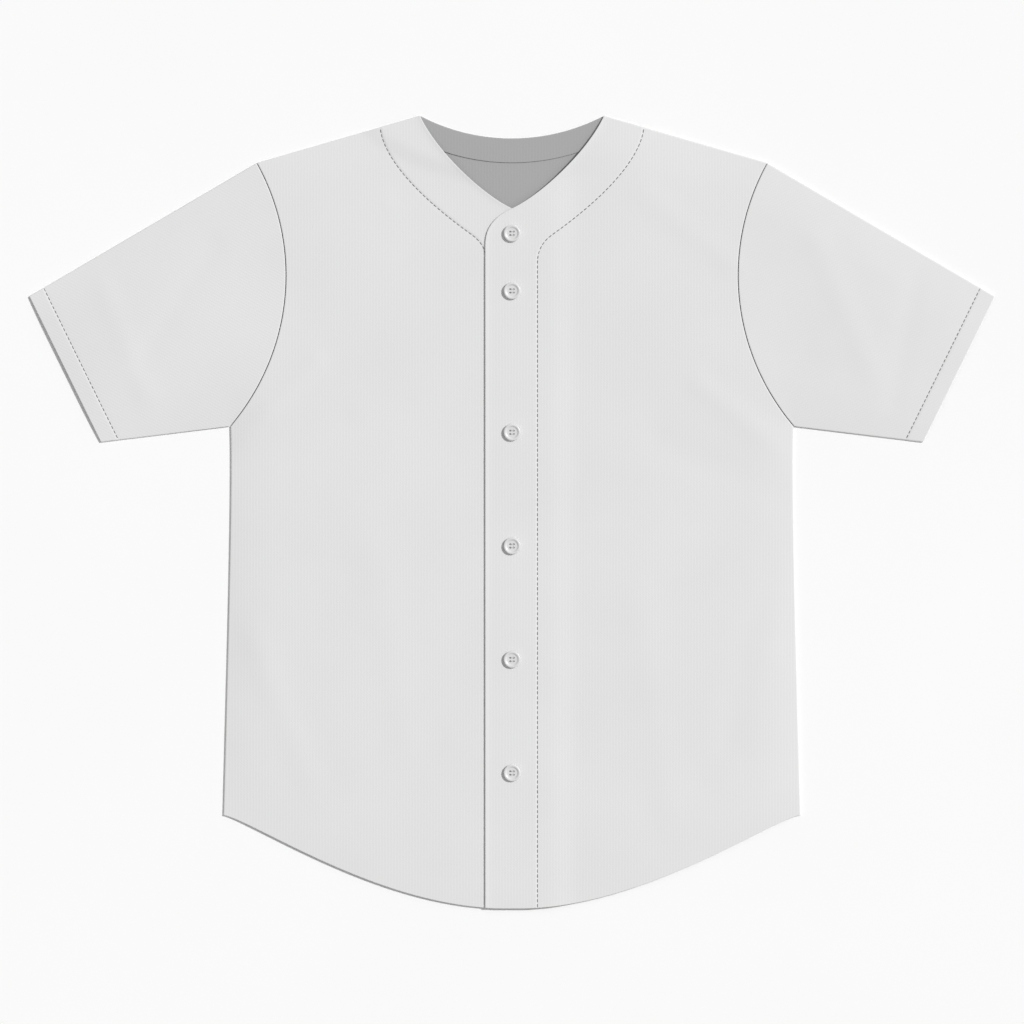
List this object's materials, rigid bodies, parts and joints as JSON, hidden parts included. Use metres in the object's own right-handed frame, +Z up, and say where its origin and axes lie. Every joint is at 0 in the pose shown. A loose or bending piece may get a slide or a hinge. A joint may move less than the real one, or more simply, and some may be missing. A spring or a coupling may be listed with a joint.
{
  "type": "baseball jersey",
  "caption": "Short-sleeved baseball jersey laid flat: full buttoned front lapped left over right, round open neck with a back-neck facing, set-in sleeves and a curved shirt-tail hem.",
  "frame": {"origin": "on the surface that the jersey lies on, under the middle of its box: on the centre front line, half way from the high points of the shoulders to the lowest hem", "axes": "+X to the wearer's left, across the chest; +Y towards the neck; +Z up from the surface, out of the jersey's front"},
  "size_m": [0.966, 0.7933, 0.0088],
  "materials": {
    "knit_cloth": "matt light grey polyester double knit",
    "knit_cloth_inside": "matt mid grey inner face of the same knit",
    "button_plastic": "satin light grey moulded polyester, four holes",
    "sewing_thread": "mid grey spun polyester thread"
  },
  "bodies": {
    "root": {"back": "knit_cloth_inside", "back_neck_facing": "knit_cloth_inside", "front_right": "knit_cloth", "front_left": "knit_cloth", "sleeve_right": "knit_cloth", "sleeve_left": "knit_cloth", "button_1": "button_plastic", "button_2": "button_plastic", "button_3": "button_plastic", "button_4": "button_plastic", "button_5": "button_plastic", "button_6": "button_plastic"}
  },
  "joints": []
}
